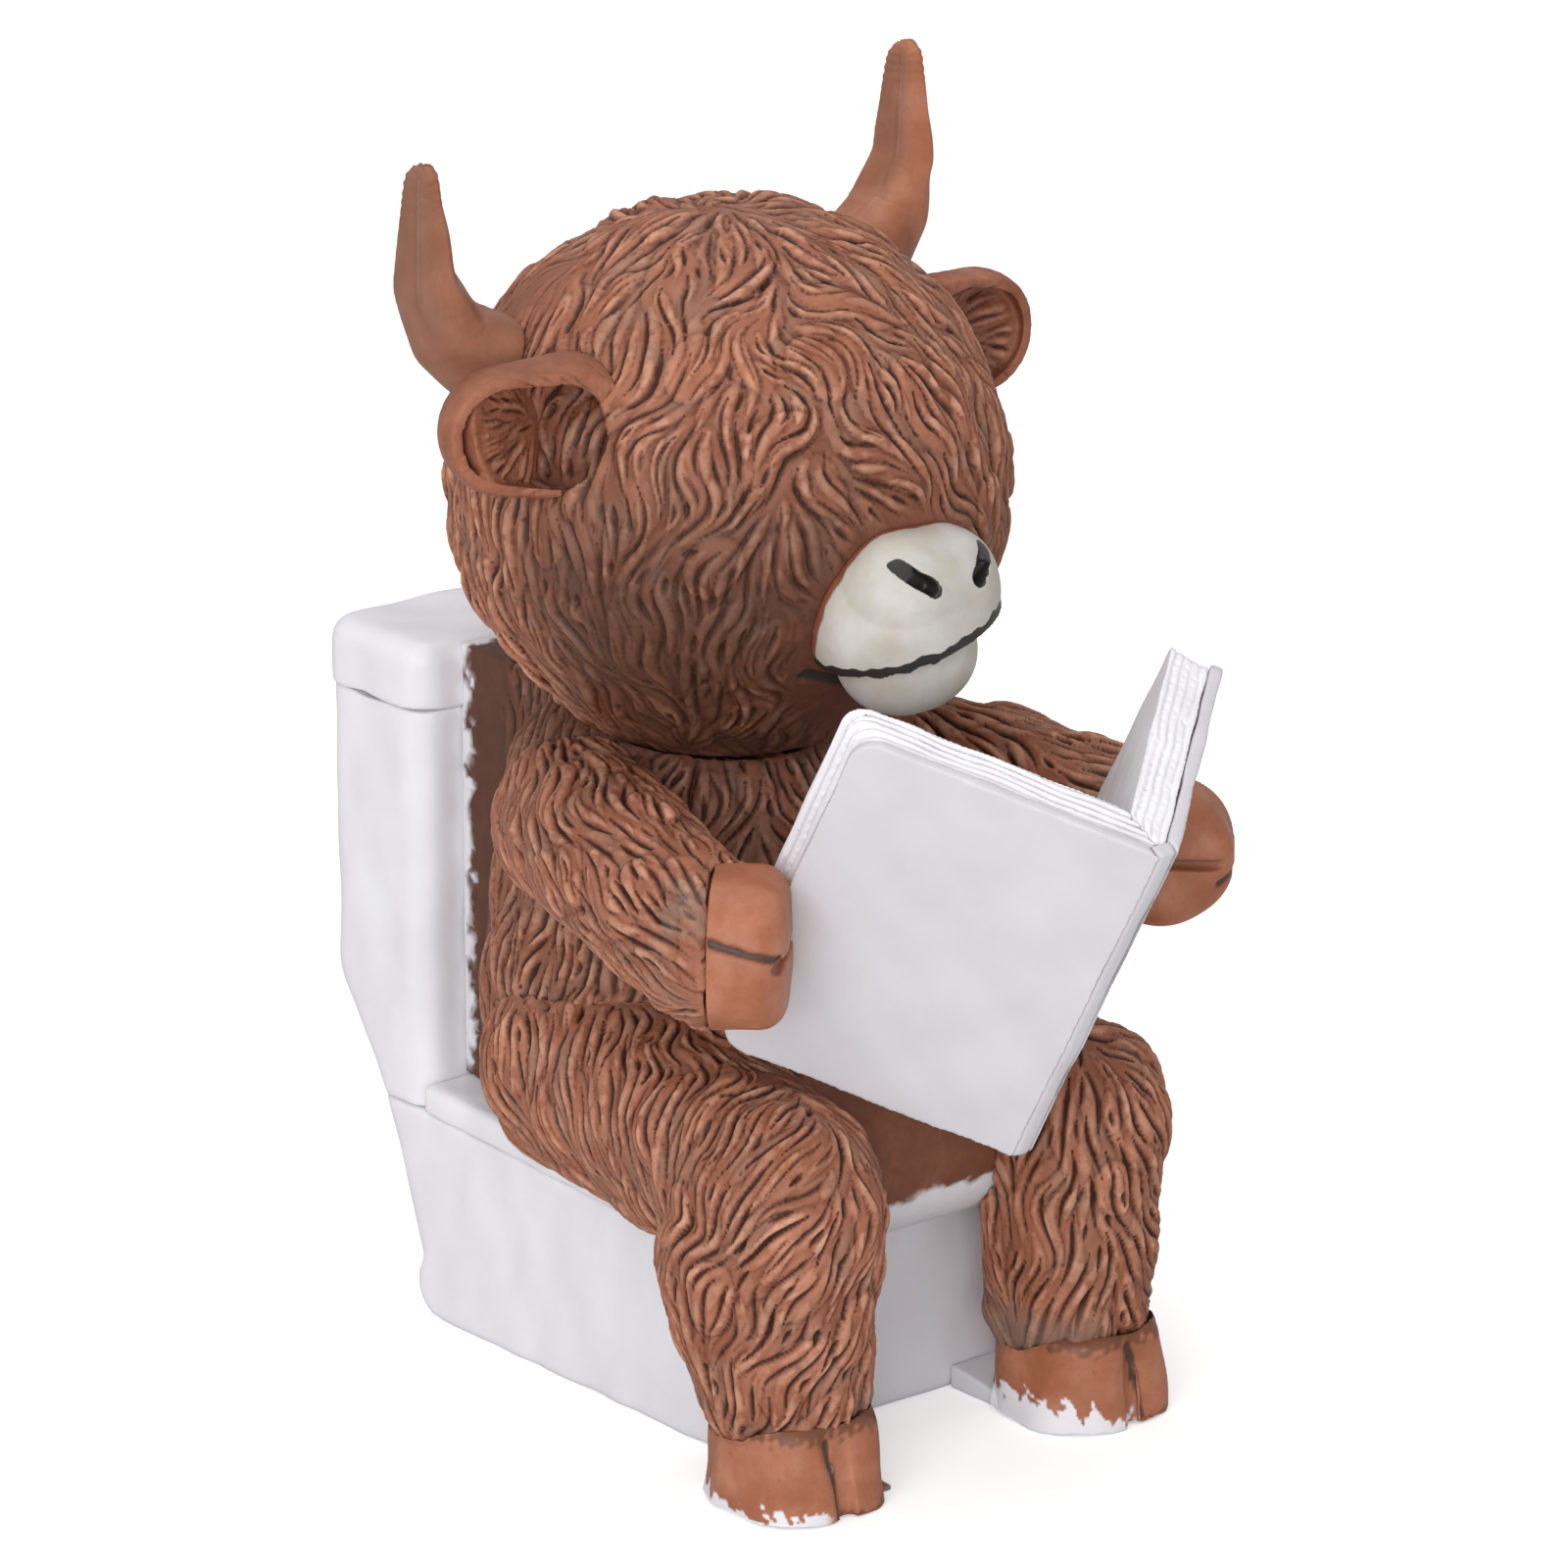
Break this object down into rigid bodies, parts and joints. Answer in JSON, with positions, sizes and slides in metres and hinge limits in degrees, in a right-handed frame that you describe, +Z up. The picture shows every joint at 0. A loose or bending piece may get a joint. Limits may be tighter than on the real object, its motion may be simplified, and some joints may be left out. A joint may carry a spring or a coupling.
{
  "type": "cow figurine",
  "caption": "Shelf ornament of painted resin: a shaggy long-haired cow with upright horns sits on a toilet and reads an open book held in its hooves.",
  "frame": {"origin": "middle of the toilet pedestal's footprint, on the surface that the figurine stands on", "axes": "+Z up, the cow faces -Y, +X is the cow's left"},
  "size_m": [0.0748, 0.1117, 0.1337],
  "materials": {
    "white_paint": "satin white paint on cast resin, bare resin at chips",
    "fur_paint": "matte terracotta paint with a dark wash in the carved hair",
    "horn_paint": "smooth matte terracotta paint",
    "cream_paint": "satin cream paint with a grey wash",
    "book_paint": "satin white paint on cast resin",
    "page_paint": "satin white paint on carved page edges"
  },
  "bodies": {
    "root": {"book_spine": "book_paint", "cistern": "white_paint", "cistern_lid": "white_paint", "head": "fur_paint", "left_arm": "fur_paint", "left_cover_board": "book_paint", "left_ear": "fur_paint", "left_foot_pad": "white_paint", "left_fore_hoof": "horn_paint", "left_hind_hoof": "horn_paint", "left_horn": "horn_paint", "left_leg": "fur_paint", "left_pages": "page_paint", "lower_lip": "cream_paint", "muzzle": "cream_paint", "pedestal": "white_paint", "right_arm": "fur_paint", "right_cover_board": "book_paint", "right_ear": "fur_paint", "right_foot_pad": "white_paint", "right_fore_hoof": "horn_paint", "right_hind_hoof": "horn_paint", "right_horn": "horn_paint", "right_leg": "fur_paint", "right_pages": "page_paint", "seat": "white_paint", "torso": "fur_paint"}
  },
  "joints": []
}
